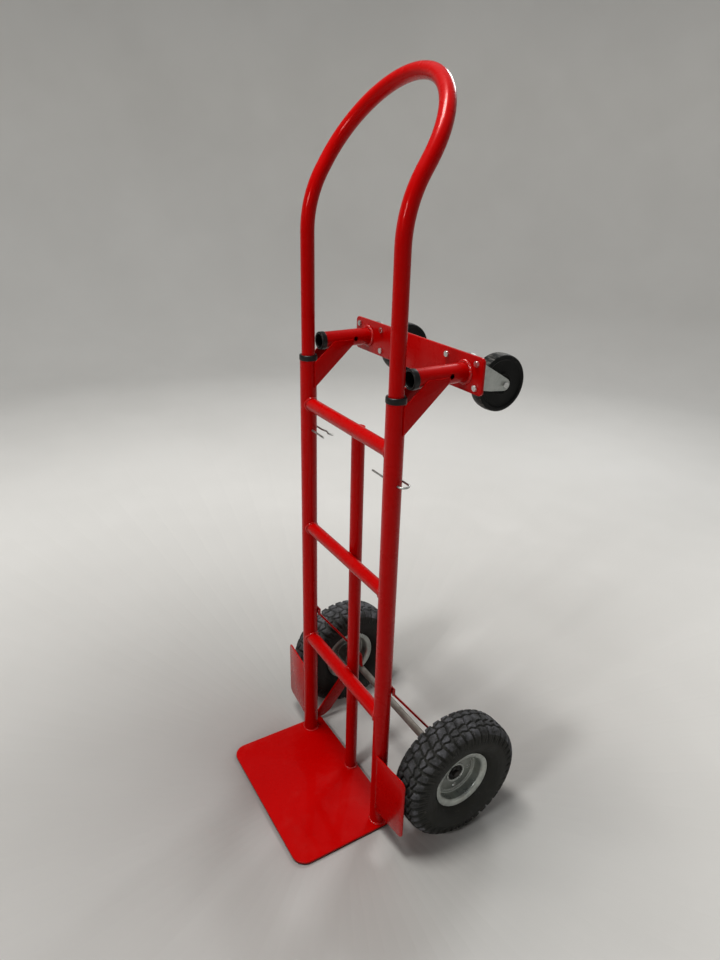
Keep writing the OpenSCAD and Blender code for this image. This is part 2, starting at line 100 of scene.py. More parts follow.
# ---------------- outlines
def fillet(points, radius, closed=False, steps=5):
    """The outline with each corner rounded to a circle, as far as the neighbouring edges allow."""
    nearly_straight, edge_share = pi - 0.02, 0.48
    points = [np.array(p, float) for p in points]
    count, out = len(points), []
    radii = radius if isinstance(radius, (list, tuple)) else [radius] * count
    for i, p in enumerate(points):
        if (not closed and i in (0, count - 1)) or radii[i] <= 0:
            out.append(p)
            continue
        a, b = points[i - 1] - p, points[(i + 1) % count] - p
        la, lb = np.linalg.norm(a), np.linalg.norm(b)
        a, b = a / la, b / lb
        turn = acos(max(-1, min(1, float(a @ b))))
        if turn > nearly_straight:
            out.append(p)
            continue
        reach = min(radii[i] / tan(turn / 2), edge_share * la, edge_share * lb)
        r = reach * tan(turn / 2)
        bisector = (a + b) / np.linalg.norm(a + b)
        centre = p + bisector * (r / sin(turn / 2))
        start, end = p + a * reach - centre, p + b * reach - centre
        arc = pi - turn
        for k in range(steps + 1):
            t = k / steps
            between = sin((1 - t) * arc) * start + sin(t * arc) * end
            out.append(centre + between / sin(arc))
    return out


def thicken(line, thickness):
    """Closed outline of a bent sheet, from its middle line."""
    line = [np.array(p, float) for p in line]
    left, right = [], []
    for i, p in enumerate(line):
        before = line[i] - line[i - 1] if i else line[1] - line[0]
        after = line[i + 1] - line[i] if i < len(line) - 1 else line[-1] - line[-2]
        before, after = before / np.linalg.norm(before), after / np.linalg.norm(after)
        n_before, n_after = np.array([-before[1], before[0]]), np.array([-after[1], after[0]])
        mitre = (n_before + n_after) / np.linalg.norm(n_before + n_after)
        shift = mitre * thickness / 2 / float(mitre @ n_before)
        left.append(p + shift)
        right.append(p - shift)
    return left + right[::-1]


def smooth_line(points, step):
    """Catmull-Rom curve through the points, resampled to about one point each step."""
    p = np.array(points, float)
    p = np.vstack([2 * p[0] - p[1], p, 2 * p[-1] - p[-2]])
    dense = []
    for i in range(1, len(p) - 2):
        for t in np.linspace(0, 1, 20, endpoint=False):
            dense.append(0.5 * (2 * p[i] + (p[i + 1] - p[i - 1]) * t
                                + (2 * p[i - 1] - 5 * p[i] + 4 * p[i + 1] - p[i + 2]) * t ** 2
                                + (3 * p[i] - p[i - 1] - 3 * p[i + 1] + p[i + 2]) * t ** 3))
    dense = np.array(dense + [p[-2]])
    run = np.concatenate([[0], np.cumsum(np.linalg.norm(np.diff(dense, axis=0), axis=1))])
    at = np.linspace(0, run[-1], max(2, round(run[-1] / step)))
    return np.stack([np.interp(at, run, dense[:, k]) for k in range(dense.shape[1])], axis=1)


# ---------------- solids as (vertices, faces)
def grid_faces(rows, columns):
    """Faces of a grid of points that closes on itself both ways."""
    return [(a * columns + b, a * columns + (b + 1) % columns,
             (a + 1) % rows * columns + (b + 1) % columns, (a + 1) % rows * columns + b)
            for a in range(rows) for b in range(columns)]


def about(axis, c, s, along):
    """Points from their two coordinates across an axis and the one along it."""
    return np.stack({"X": (along, c, s), "Y": (c, along, s), "Z": (c, s, along)}[axis], axis=-1)


def revolve(outline, axis, segments, centre=(0, 0, 0)):
    """A closed outline of (radius, offset) turned about an axis through centre."""
    outline = np.array(outline, float)
    angles = np.linspace(0, 2 * pi, segments, endpoint=False)
    r, off = outline[:, 0][None, :], outline[:, 1][None, :]
    c, s = np.cos(angles)[:, None] * r, np.sin(angles)[:, None] * r
    verts = about(axis, c, s, np.broadcast_to(off, c.shape)).reshape(-1, 3)
    return verts + np.array(centre, float), grid_faces(segments, len(outline))


def prism(outline, thickness, axis, at=(0, 0, 0)):
    """A flat outline across an axis, thickened along it to both sides."""
    n, (u, v) = len(outline), np.array(outline, float).T
    ends = [about(axis, u, v, np.full(n, w)) for w in (-thickness / 2, thickness / 2)]
    verts = np.concatenate(ends) + np.array(at, float)
    faces = [tuple(range(n))[::-1], tuple(range(n, 2 * n))]
    faces += [(i, (i + 1) % n, n + (i + 1) % n, n + i) for i in range(n)]
    return verts, faces


def sweep(path, radius, sides=20, closed=False, radii=None):
    """A round bar along a path, with flat ends."""
    path = np.array(path, float)
    count = len(path)
    radii = np.full(count, radius, float) if radii is None else radii
    tangents = np.gradient(path, axis=0)
    if closed:
        tangents = np.roll(path, -1, axis=0) - np.roll(path, 1, axis=0)
    tangents /= np.linalg.norm(tangents, axis=1)[:, None]
    first = np.cross(tangents[0], [0, 0, 1])
    if np.linalg.norm(first) < 1e-3:
        first = np.cross(tangents[0], [1, 0, 0])
    normals = [first / np.linalg.norm(first)]
    for i in range(1, count):
        n = normals[-1] - tangents[i] * float(normals[-1] @ tangents[i])
        normals.append(n / np.linalg.norm(n))
    angles = np.linspace(0, 2 * pi, sides, endpoint=False)
    verts = []
    for i in range(count):
        b = np.cross(tangents[i], normals[i])
        circle = np.cos(angles)[:, None] * normals[i] + np.sin(angles)[:, None] * b
        verts.append(path[i] + radii[i] * circle)
    verts = np.concatenate(verts)
    rings = count if closed else count - 1
    shift = 0
    if closed:
        last = np.cross(tangents[0], normals[-1])
        offset = atan2(float(normals[0] @ last), float(normals[0] @ normals[-1]))
        shift = round(offset / (2 * pi) * sides)
    faces = []
    for i in range(rings):
        j, twist = (i + 1) % count, shift if i == count - 1 else 0
        for k in range(sides):
            m = (k + 1) % sides
            faces.append((i * sides + (k + twist) % sides, i * sides + (m + twist) % sides,
                          j * sides + m, j * sides + k))
    if not closed:
        last_ring = (count - 1) * sides
        faces += [tuple(range(sides))[::-1], tuple(range(last_ring, last_ring + sides))]
    return verts, faces


def joined(*solids):
    verts, faces, base = [], [], 0
    for v, f in solids:
        verts.append(np.asarray(v, float))
        faces += [tuple(i + base for i in face) for face in f]
        base += len(v)
    return np.concatenate(verts), faces


def moved(solid, matrix):
    v, f = solid
    m = np.array(matrix)
    return np.asarray(v) @ m[:3, :3].T + m[:3, 3], f


def mirrored(solid):
    v, f = solid
    return np.asarray(v) * [-1, 1, 1], [face[::-1] for face in f]


def on_side(solid, side):
    """The left solid itself, or its mirror image for the right."""
    return solid if side == "left" else mirrored(solid)


def paired(solid):
    """The solid on the left together with its mirror image on the right."""
    return joined(solid, mirrored(solid))


def softened(solid, width, segments=2, angle=28):
    """The solid with its sharp edges rounded."""
    bm = bmesh.new()
    verts = [bm.verts.new(v) for v in solid[0]]
    for face in solid[1]:
        try:
            bm.faces.new([verts[i] for i in face])
        except ValueError:
            continue
    bmesh.ops.remove_doubles(bm, verts=bm.verts, dist=1e-4)
    bmesh.ops.recalc_face_normals(bm, faces=bm.faces)
    edges = [e for e in bm.edges
             if len(e.link_faces) == 2 and e.calc_face_angle(0) > radians(angle)]
    bmesh.ops.bevel(bm, geom=edges, offset=width, segments=segments, profile=0.5, affect="EDGES",
                    clamp_overlap=True)
    bm.verts.index_update()
    out = np.array([v.co[:] for v in bm.verts]), [tuple(v.index for v in f.verts) for f in bm.faces]
    bm.free()
    return out


def mesh_of(name, solid, weld=0.0):
    """The solid as a mesh in metres, faces outward, with points closer than weld merged."""
    mesh = bpy.data.meshes.new(name)
    mesh.from_pydata([tuple(v) for v in np.asarray(solid[0]) * MM], [], solid[1])
    bm = bmesh.new()
    bm.from_mesh(mesh)
    if weld:
        bmesh.ops.remove_doubles(bm, verts=bm.verts, dist=weld)
    bmesh.ops.recalc_face_normals(bm, faces=bm.faces)
    bm.to_mesh(mesh)
    bm.free()
    return mesh


def placed(name, data):
    """A new object in the scene."""
    obj = bpy.data.objects.new(name, data)
    bpy.context.scene.collection.objects.link(obj)
    return obj


def piece(name, solid, body, material, slot, replaces=(), sharp=SHARP, second=None,
          second_faces=None):
    """Makes the object, riding on its body.

    second is a second material. second_faces picks its faces: a test of a face's centre in
    millimetres, or a row of flags.
    """
    mesh = mesh_of(name, solid, weld=2e-7)
    mesh.polygons.foreach_set("use_smooth", [True] * len(mesh.polygons))
    mesh.set_sharp_from_angle(angle=radians(sharp))
    obj = placed(name, mesh)
    mesh.materials.append(material)
    if second:
        mesh.materials.append(second)
        flags = second_faces
        if callable(second_faces):
            flags = [second_faces(Vector(polygon.center) / MM) for polygon in mesh.polygons]
        for flag, polygon in zip(flags, mesh.polygons):
            if flag:
                polygon.material_index = 1
    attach(obj, body)
    if replaces:
        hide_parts(*replaces)
    return obj


def cut(obj, solid, operation="DIFFERENCE"):
    """Applies a boolean to a piece and removes the cutter."""
    tool = placed("cutter", mesh_of("cutter", solid))
    modifier = obj.modifiers.new("cut", "BOOLEAN")
    modifier.object, modifier.operation, modifier.solver = tool, operation, "EXACT"
    depsgraph = bpy.context.evaluated_depsgraph_get()
    result = bpy.data.meshes.new_from_object(obj.evaluated_get(depsgraph))
    obj.modifiers.clear()
    obj.data = result
    bpy.data.objects.remove(tool)
    result.set_sharp_from_angle(angle=radians(SHARP))


# ---------------- materials
class Shader:
    """Short hand for building one procedural material."""

    def __init__(self, name):
        self.material = bpy.data.materials.new(name)
        self.material.use_nodes = True
        self.nodes, self.links = self.material.node_tree.nodes, self.material.node_tree.links
        self.principled = self.nodes["Principled BSDF"]
        self.place = self.add("ShaderNodeTexCoord").outputs["Object"]

    def add(self, kind, **values):
        node = self.nodes.new(kind)
        for key, value in values.items():
            setattr(node, key, value)
        return node

    def put(self, socket, value):
        if isinstance(value, bpy.types.NodeSocket):
            self.links.new(value, socket)
        else:
            socket.default_value = value

    def constants(self, **values):
        for key, value in values.items():
            self.principled.inputs[key.replace("_", " ")].default_value = value

    def stretched(self, scale, shift=(0, 0, 0)):
        node = self.add("ShaderNodeMapping")
        self.links.new(self.place, node.inputs["Vector"])
        node.inputs["Scale"].default_value = scale
        node.inputs["Location"].default_value = shift
        return node.outputs["Vector"]

    def noise(self, scale, detail=4, rough=0.55, place=None, distortion=0.0):
        node = self.add("ShaderNodeTexNoise")
        self.links.new(place or self.place, node.inputs["Vector"])
        values = {"Scale": scale, "Detail": detail, "Roughness": rough, "Distortion": distortion}
        for key, v in values.items():
            node.inputs[key].default_value = v
        return node.outputs["Fac"]

    def cells(self, scale):
        node = self.add("ShaderNodeTexVoronoi", feature="F1")
        self.links.new(self.place, node.inputs["Vector"])
        node.inputs["Scale"].default_value = scale
        return node.outputs["Distance"]

    def ramp(self, value, low, high, start=0.0, end=1.0):
        node = self.add("ShaderNodeMapRange", clamp=True, interpolation_type="SMOOTHSTEP")
        self.put(node.inputs["Value"], value)
        ends = {"From Min": low, "From Max": high, "To Min": start, "To Max": end}
        for key, v in ends.items():
            node.inputs[key].default_value = v
        return node.outputs["Result"]

    def maths(self, operation, a, b=0.0):
        clamped = operation in ("ADD", "MULTIPLY")
        node = self.add("ShaderNodeMath", operation=operation, use_clamp=clamped)
        self.put(node.inputs[0], a)
        self.put(node.inputs[1], b)
        return node.outputs["Value"]

    def times(self, a, b):
        return self.maths("MULTIPLY", a, b)

    def plus(self, base, extra, share):
        """base with a share of extra added."""
        return self.maths("ADD", base, self.times(extra, share))

    def mix(self, factor, a, b):
        node = self.add("ShaderNodeMix", data_type="RGBA")
        self.put(node.inputs["Factor"], factor)
        self.put(node.inputs[6], (*a, 1) if isinstance(a, tuple) else a)
        self.put(node.inputs[7], (*b, 1) if isinstance(b, tuple) else b)
        return node.outputs[2]

    def up(self):
        """How far the surface faces up, from 0 to 1."""
        normal = self.add("ShaderNodeNewGeometry").outputs["Normal"]
        split = self.add("ShaderNodeSeparateXYZ")
        self.links.new(normal, split.inputs["Vector"])
        return self.ramp(split.outputs["Z"], 0.35, 0.95)

    def from_axle(self):
        """Distance in metres from the axle line of the main wheels."""
        across = self.stretched((0, 1, 1), (0, -AXLE_Y * MM, -AXLE_Z * MM))
        length = self.add("ShaderNodeVectorMath", operation="LENGTH")
        self.links.new(across, length.inputs[0])
        return length.outputs["Value"]

    def edges(self, radius=0.0012):
        """1 on sharp edges of the surface, 0 away from them."""
        bevel = self.add("ShaderNodeBevel", samples=4)
        bevel.inputs["Radius"].default_value = radius
        normal = self.add("ShaderNodeNewGeometry").outputs["Normal"]
        dot = self.add("ShaderNodeVectorMath", operation="DOT_PRODUCT")
        self.links.new(bevel.outputs["Normal"], dot.inputs[0])
        self.links.new(normal, dot.inputs[1])
        return self.ramp(dot.outputs["Value"], 0.985, 0.86, 0, 1)

    def bump(self, *heights):
        """heights are (height socket, strength, distance in metres), finest last."""
        normal = None
        for height, strength, distance in heights:
            node = self.add("ShaderNodeBump")
            node.inputs["Strength"].default_value = strength
            node.inputs["Distance"].default_value = distance
            self.links.new(height, node.inputs["Height"])
            if normal:
                self.links.new(normal, node.inputs["Normal"])
            normal = node.outputs["Normal"]
        self.links.new(normal, self.principled.inputs["Normal"])

    def finish(self, colour, roughness, metallic=0.0):
        self.put(self.principled.inputs["Base Color"], colour)
        self.put(self.principled.inputs["Roughness"], roughness)
        self.put(self.principled.inputs["Metallic"], metallic)
        return self.material


def red_enamel(name="red_enamel", coat=0.13, coat_rough=0.07):
    s = Shader(name)
    deep, full, dark = (0.325, 0.0001, 0.0001), (0.350, 0.0003, 0.0003), (0.275, 0.0001, 0.0001)
    scratched, dusty, bare = (0.42, 0.04, 0.035), (0.33, 0.14, 0.12), (0.16, 0.11, 0.10)
    cloud = s.noise(2.6, 3)
    mottle = s.noise(38, 5)
    colour = s.mix(s.ramp(cloud, 0.3, 0.7), deep, full)
    colour = s.mix(s.ramp(mottle, 0.45, 0.8, 0, 0.2), colour, dark)
    scratches = s.ramp(s.noise(1, 2, 0.5, s.stretched((900, 14, 60)), 0.6), 0.69, 0.73)
    scratches = s.times(scratches, s.ramp(s.noise(9, 2), 0.52, 0.64))
    colour = s.mix(s.times(scratches, 0.2), colour, scratched)
    dust = s.times(s.up(), s.ramp(s.noise(16, 6, 0.65), 0.5, 0.8, 0, 0.03))
    colour = s.mix(dust, colour, dusty)
    worn = s.times(s.edges(), s.ramp(s.noise(70, 5, 0.7), 0.57, 0.66))
    colour = s.mix(s.times(worn, 0.6), colour, bare)
    roughness = s.ramp(s.noise(24, 5, 0.6), 0.3, 0.75, 0.24, 0.34)
    roughness = s.plus(roughness, s.maths("ADD", scratches, dust), 0.3)
    s.bump((s.noise(45, 2), 0.12, 0.0006), (s.noise(420, 2), 0.08, 0.0003),
           (scratches, 0.15, 0.0001))
    s.constants(Coat_Weight=coat, Coat_Roughness=coat_rough, Coat_IOR=1.45, Specular_IOR_Level=0.2,
                Specular_Tint=(1.0, 0.06, 0.05, 1.0))
    return s.finish(colour, roughness)


def zinc_plate(name, bright, dark, rough_low, rough_high, metallic=0.92):
    s = Shader(name)
    spangle = s.cells(210)
    patch = s.noise(60, 5, 0.6)
    dirt = (0.085, 0.075, 0.062)
    colour = s.mix(s.ramp(patch, 0.3, 0.7), dark, bright)
    colour = s.mix(s.ramp(spangle, 0.0, 0.8, 0, 0.25), colour, tuple(c * 1.2 for c in bright))
    grime = s.times(s.ramp(s.noise(26, 6, 0.7), 0.52, 0.72), 0.55)
    colour = s.mix(grime, colour, dirt)
    brushed = s.noise(1, 3, 0.6, s.stretched((80, 900, 900)))
    roughness = s.ramp(patch, 0.3, 0.7, rough_low, rough_high)
    roughness = s.plus(roughness, grime, 0.35)
    s.bump((patch, 0.12, 0.0004), (brushed, 0.05, 0.0001), (s.noise(900, 2), 0.08, 0.0001))
    return s.finish(colour, roughness, metallic)


def rim_metal():
    """Dusty zinc, darker on the disc, with a painted highlight on its edges."""
    s = Shader("rim_metal")
    dull, bright, painted_edge_highlight = (0.31, 0.335, 0.32), (0.47, 0.495, 0.46), (0.86, 0.88, 0.86)
    dusty, rusty, disc_dark = (0.30, 0.285, 0.25), (0.10, 0.06, 0.035), (0.085, 0.088, 0.078)
    patch = s.noise(30, 6, 0.6)
    colour = s.mix(s.ramp(patch, 0.3, 0.72), dull, bright)
    dust = s.ramp(s.noise(75, 6, 0.7), 0.42, 0.75, 0, 0.55)
    colour = s.mix(dust, colour, dusty)
    specks = s.ramp(s.cells(330), 0.17, 0.06)
    specks = s.times(specks, s.ramp(s.noise(48, 3), 0.52, 0.6))
    colour = s.mix(s.times(specks, 0.6), colour, rusty)
    # darker on the disc, fading out between 40 and 49 mm from the axle line
    on_disc = s.ramp(s.from_axle(), 0.049, 0.040)
    disc_darkening = s.times(on_disc, s.ramp(patch, 0.3, 0.7, 0.40, 0.62))
    colour = s.mix(disc_darkening, colour, disc_dark)
    # painted highlight: sharp edges lightened towards near white, standing in for lamp glints
    colour = s.mix(s.times(s.edges(0.0022), 0.85), colour, painted_edge_highlight)
    roughness = s.ramp(patch, 0.3, 0.7, 0.24, 0.36)
    roughness = s.plus(roughness, dust, 0.3)
    s.bump((s.noise(110, 4), 0.15, 0.0004), (s.noise(1300, 2), 0.06, 0.0001))
    return s.finish(colour, roughness, 0.8)


def bare_steel(name="bare_steel", tone=1.0, metal=0.75):
    s = Shader(name)
    dull, clean, rusty = (tuple(c * tone for c in colour) for colour in
                          ((0.135, 0.118, 0.100), (0.215, 0.195, 0.172), (0.085, 0.050, 0.030)))
    patch = s.noise(34, 6, 0.65)
    turned = s.noise(1, 2, 0.5, s.stretched((1500, 30, 30)))
    colour = s.mix(s.ramp(patch, 0.3, 0.7), dull, clean)
    rust = s.ramp(s.noise(95, 7, 0.75), 0.53, 0.68)
    colour = s.mix(s.times(rust, 0.6), colour, rusty)
    roughness = s.ramp(turned, 0.2, 0.8, 0.38, 0.52)
    roughness = s.plus(roughness, rust, 0.3)
    metallic = s.maths("SUBTRACT", metal, s.times(rust, 0.4))
    s.bump((s.noise(120, 5), 0.12, 0.0003), (turned, 0.08, 0.0001))
    s.constants(Specular_IOR_Level=0.3)
    return s.finish(colour, roughness, metallic)


def black_plastic():
    s = Shader("black_plastic")
    black, lighter = (0.0045, 0.0045, 0.0043), (0.0080, 0.0080, 0.0076)
    scuffed = (0.045, 0.044, 0.042)
    scuff = s.ramp(s.noise(120, 6, 0.7), 0.52, 0.75)
    colour = s.mix(s.ramp(s.noise(30, 4), 0.3, 0.7), black, lighter)
    colour = s.mix(s.times(scuff, 0.25), colour, scuffed)
    roughness = s.ramp(scuff, 0, 1, 0.34, 0.56)
    s.bump((s.noise(60, 2), 0.12, 0.0004), (s.noise(1900, 2), 0.18, 0.00012))
    s.constants(Specular_IOR_Level=0.22)
    return s.finish(colour, roughness)


def tyre_rubber(name="tyre_rubber", dusty=0.5, worn=(0.026, 0.025, 0.019)):
    """Rubber under a film of dust, as strong as dusty, in the colour worn. On the tread block tops
    the film is light and bluish: dust together with a painted sheen.
    """
    s = Shader(name)
    black, lighter, gritty = (0.0075, 0.0077, 0.0068), (0.0130, 0.0132, 0.0112), (0.30, 0.28, 0.25)
    cloud = s.noise(14, 5, 0.6)
    colour = s.mix(s.ramp(cloud, 0.3, 0.7), black, lighter)
    film = s.ramp(s.noise(55, 7, 0.7), 0.36, 0.74, 0.05, dusty)
    film = s.times(film, s.ramp(s.noise(9, 3), 0.3, 0.65, 0.55, 1))
    colour = s.mix(film, colour, worn)
    grit = s.ramp(s.cells(520), 0.22, 0.10)
    grit = s.times(grit, s.ramp(s.noise(70, 3), 0.56, 0.66))
    colour = s.mix(s.times(grit, 0.6), colour, gritty)
    roughness = s.ramp(cloud, 0.3, 0.7, 0.52, 0.66)
    roughness = s.plus(roughness, film, 0.4)
    s.bump((s.noise(90, 5), 0.22, 0.0006), (s.noise(1200, 3), 0.35, 0.00018))
    s.constants(Specular_IOR_Level=0.25)
    return s.finish(colour, roughness)


def caster_rubber(name="caster_rubber", dusty=0.12, worn=(0.016, 0.016, 0.015)):
    s = Shader(name)
    black, lighter = (0.0035, 0.0038, 0.0036), (0.0065, 0.0070, 0.0066)
    cloud = s.noise(40, 5, 0.6)
    colour = s.mix(s.ramp(cloud, 0.3, 0.7), black, lighter)
    streak = s.ramp(s.noise(1, 4, 0.6, s.stretched((60, 240, 240))), 0.45, 0.7)
    film = s.times(streak, dusty)
    colour = s.mix(film, colour, worn)
    roughness = s.ramp(cloud, 0.3, 0.7, 0.38, 0.5)
    roughness = s.plus(roughness, film, 0.4)
    s.bump((s.noise(150, 4), 0.18, 0.0004), (s.noise(1500, 2), 0.12, 0.0001))
    s.constants(Specular_IOR_Level=0.12)
    return s.finish(colour, roughness)


def studio_floor():
    s = Shader("studio_floor")
    pale, paler = (0.60, 0.59, 0.565), (0.63, 0.62, 0.595)
    colour = s.mix(s.ramp(s.noise(1.2, 3), 0.3, 0.7), pale, paler)
    s.bump((s.noise(180, 3), 0.03, 0.0003), (s.noise(900, 2), 0.03, 0.0001))
    return s.finish(colour, s.ramp(s.noise(5, 3), 0.3, 0.7, 0.55, 0.66))


ENAMEL = red_enamel()
ZINC = zinc_plate("zinc_plate", (0.47, 0.49, 0.47), (0.34, 0.36, 0.345), 0.30, 0.46)
BRIGHT = zinc_plate("bright_zinc", (0.72, 0.73, 0.72), (0.55, 0.56, 0.55), 0.16, 0.30, 1.0)
RIM = rim_metal()
STEEL = bare_steel()
# painted shade: steel darkened nearly to black for the parts inside the hubs, where the hub's shade
# falls
HUB_SHADE_STEEL = bare_steel("hub_shade_steel", 0.16, 0.5)
WELD = red_enamel("weld_enamel", 0.9, 0.12)
PLASTIC = black_plastic()
TYRE = tyre_rubber()
# dust and painted sheen: a light bluish film for the tread block tops
TREAD_DUST_AND_SHEEN = tyre_rubber("tread_dust_and_sheen", 0.85, (0.135, 0.135, 0.150))
CASTER = caster_rubber()
CASTER_TREAD = caster_rubber("caster_tread", 0.75, (0.13, 0.125, 0.115))

# CAD nodes with no piece of their own show these
CARRIED = {"enamel": ENAMEL, "zinc": ZINC, "bare_steel": STEEL, "rim_paint": RIM,
           "plastic": PLASTIC, "tyre": TYRE, "rubber": PLASTIC, "caster_rubber": CASTER}
for subpart in frame["record"]["subparts"]:
    mesh = frame["nodes"][subpart["node"]].data
    mesh.materials.clear()
    mesh.materials.append(CARRIED[subpart["material_slot"]])


def framed(name, solid, material=ENAMEL, slot="enamel", replaces=(), body="frame", **more):
    """A piece on the left, and its mirror image on the right. SIDE stands for left or right."""
    for side in SIDES:
        piece(f"{side}_{name}", on_side(solid, side), body.replace("SIDE", side), material, slot,
              [node.replace("SIDE", side) for node in replaces], **more)


# ---------------- sheet metal of the frame
def corner_round(points, radii):
    return fillet(points, radii, closed=True, steps=8)


def rectangle(low, high, radii):
    """Outline whose corners are rounded by radii, from the lowest one anticlockwise."""
    (x0, y0), (x1, y1) = low, high
    return corner_round([(x0, y0), (x1, y0), (x1, y1), (x0, y1)], radii)


def toe_plate():
    front_corner, rear_corner, edge = 28, 3, 1.1
    x, front, rear = TOE_HIGH[0], TOE_LOW[1], TOE_HIGH[1]
    outline = rectangle((-x, front), (x, rear),
                        [front_corner, front_corner, rear_corner, rear_corner])
    t = TOE_HIGH[2] - TOE_LOW[2]
    solid = prism(outline, t, "Z", (0, 0, t / 2))
    piece("toe_plate_sheet", softened(solid, edge, 3), "frame", ENAMEL, "enamel", ["toe_plate"])


def wheel_guards():
    low, high = box_mm("left_wheel_guard")
    sweep_back, thickness, corner, edge = radians(5), 2.5, 12, 0.6
    root = np.array([low[0] - 1.0, -13.3])
    reach, height = (high[0] - root[0]) / cos(sweep_back), high[2] - low[2]
    outline = rectangle((0, 0), (reach, height), [0, corner, corner, 0])
    c, s = cos(sweep_back), sin(sweep_back)
    turn = [[c, -s, 0, root[0]], [s, c, 0, root[1]], [0, 0, 1, low[2]], [0, 0, 0, 1]]
    solid = softened(moved(prism(outline, thickness, "Y"), turn), edge)
    framed("guard_sheet", solid, replaces=["SIDE_wheel_guard"])


def caster_plate():
    low, high = PLATE_LOW, PLATE_HIGH
    corner, edge = 8, 0.9
    outline = rectangle((low[0], low[2]), (high[0], high[2]), [corner] * 4)
    t, y = high[1] - low[1], (high[1] + low[1]) / 2
    solid = softened(prism(outline, t, "Y", (0, y, 0)), edge, 3)
    piece("caster_plate_sheet", solid, "frame", ENAMEL, "enamel", ["caster_plate"])


def gussets():
    """Two sheets under each socket, which slope up from the upright to the socket."""
    sheet, edge, offset = 3, 0.5, 16.5
    low_z, shoulder_z = 850, 898
    front_y, top_y, rear_y = 4.5, 48, 90
    outline = corner_round([(front_y, low_z), (front_y, shoulder_z), (top_y, SOCKET_Z),
                            (rear_y, SOCKET_Z), (rear_y - 2, SOCKET_Z - 10)], [0, 2, 6, 2, 2])
    sheets = [softened(prism(outline, sheet, "X", (TRACK + x, 0, 0)), edge)
              for x in (offset, -offset)]
    framed("gusset_sheets", joined(*sheets), replaces=["SIDE_gussets"])


def axle_straps():
    thickness, bend_r, edge = 4, 9, 0.7
    y = UPRIGHT_R + thickness / 2
    line = fillet([(y, STRAP_TOP), (y, STRAP_BEND), (AXLE_Y - 3, AXLE_Z + 43),
                   (AXLE_Y, AXLE_Z + 5)], [0, bend_r, bend_r, 0], steps=6)
    width = extent("left_axle_strap")[0]
    solid = prism(thicken(line, thickness), width, "X", (TRACK, 0, 0))
    framed("strap_bar", softened(solid, edge, 2, 50), replaces=["SIDE_axle_strap"])


def axle_brackets():
    """A bar on edge from the toe plate to the axle, round at its upper end."""
    low, high = box_mm("left_axle_bracket")
    inset, lap, heel_y, half, edge = 3, 8, 10, 16, 0.8
    foot = np.array([TOE_HIGH[1] - inset, TOE_HIGH[2]])
    top = np.array([AXLE_Y, AXLE_Z])
    along = (top - foot) / np.linalg.norm(top - foot)
    across = np.array([-along[1], along[0]])
    end = [top + half * (sin(a) * along + cos(a) * across)
           for a in np.linspace(0, pi, 17)]
    front = foot + across * half
    front_foot = front - along * (front[1] - foot[1]) / along[1]
    back = foot - across * half
    heel = back + along * (foot[1] + heel_y - back[1]) / along[1]
    outline = [front_foot, *end, heel, (TOE_HIGH[1] + lap, foot[1])]
    x = (low[0] + high[0]) / 2
    solid = prism(outline, high[0] - low[0], "X", (x, 0, 0))
    framed("bracket_bar", softened(solid, edge, 2), replaces=["SIDE_axle_bracket"])


# ---------------- weld beads
def bead(path, radius, closed=True, seed=1):
    """A weld run: a bar whose thickness ripples along the path."""
    spacing, pool, taper = 0.55, 2.1, 3
    rng = np.random.default_rng(seed)
    line = np.array(path, float)
    if closed:
        line = np.vstack([line, line[:1]])
    run = np.concatenate([[0], np.cumsum(np.linalg.norm(np.diff(line, axis=0), axis=1))])
    at = np.linspace(0, run[-1], max(8, round(run[-1] / spacing)), endpoint=not closed)
    line = np.stack([np.interp(at, run, line[:, k]) for k in range(3)], axis=1)
    phase = rng.uniform(0, 6, 3)
    ripple = 0.13 * np.abs(np.sin(at / pool * pi + 0.3 * np.sin(at / 7 + phase[0])))
    drift = 0.12 * np.sin(at / 9 + phase[1]) + 0.07 * np.sin(at / 4.1 + phase[2])
    ends = 1.0 if closed else np.clip(np.minimum(at, run[-1] - at) / taper + 0.35, 0, 1)
    return sweep(line, radius, 10, closed, radius * (0.92 + ripple + drift) * ends)


ROUND = np.linspace(0, 2 * pi, 120, endpoint=False)


def ring_path(centre, radius, axis):
    c, s = radius * np.cos(ROUND), radius * np.sin(ROUND)
    return np.array(centre) + about(axis, c, s, np.zeros(len(ROUND)))


def saddle_path(r, z):
    """Where a rung meets the left upright."""
    y = r * np.cos(ROUND)
    x = TRACK - np.sqrt(UPRIGHT_R ** 2 - y ** 2)
    return np.stack([x, y, z + r * np.sin(ROUND)], axis=1)


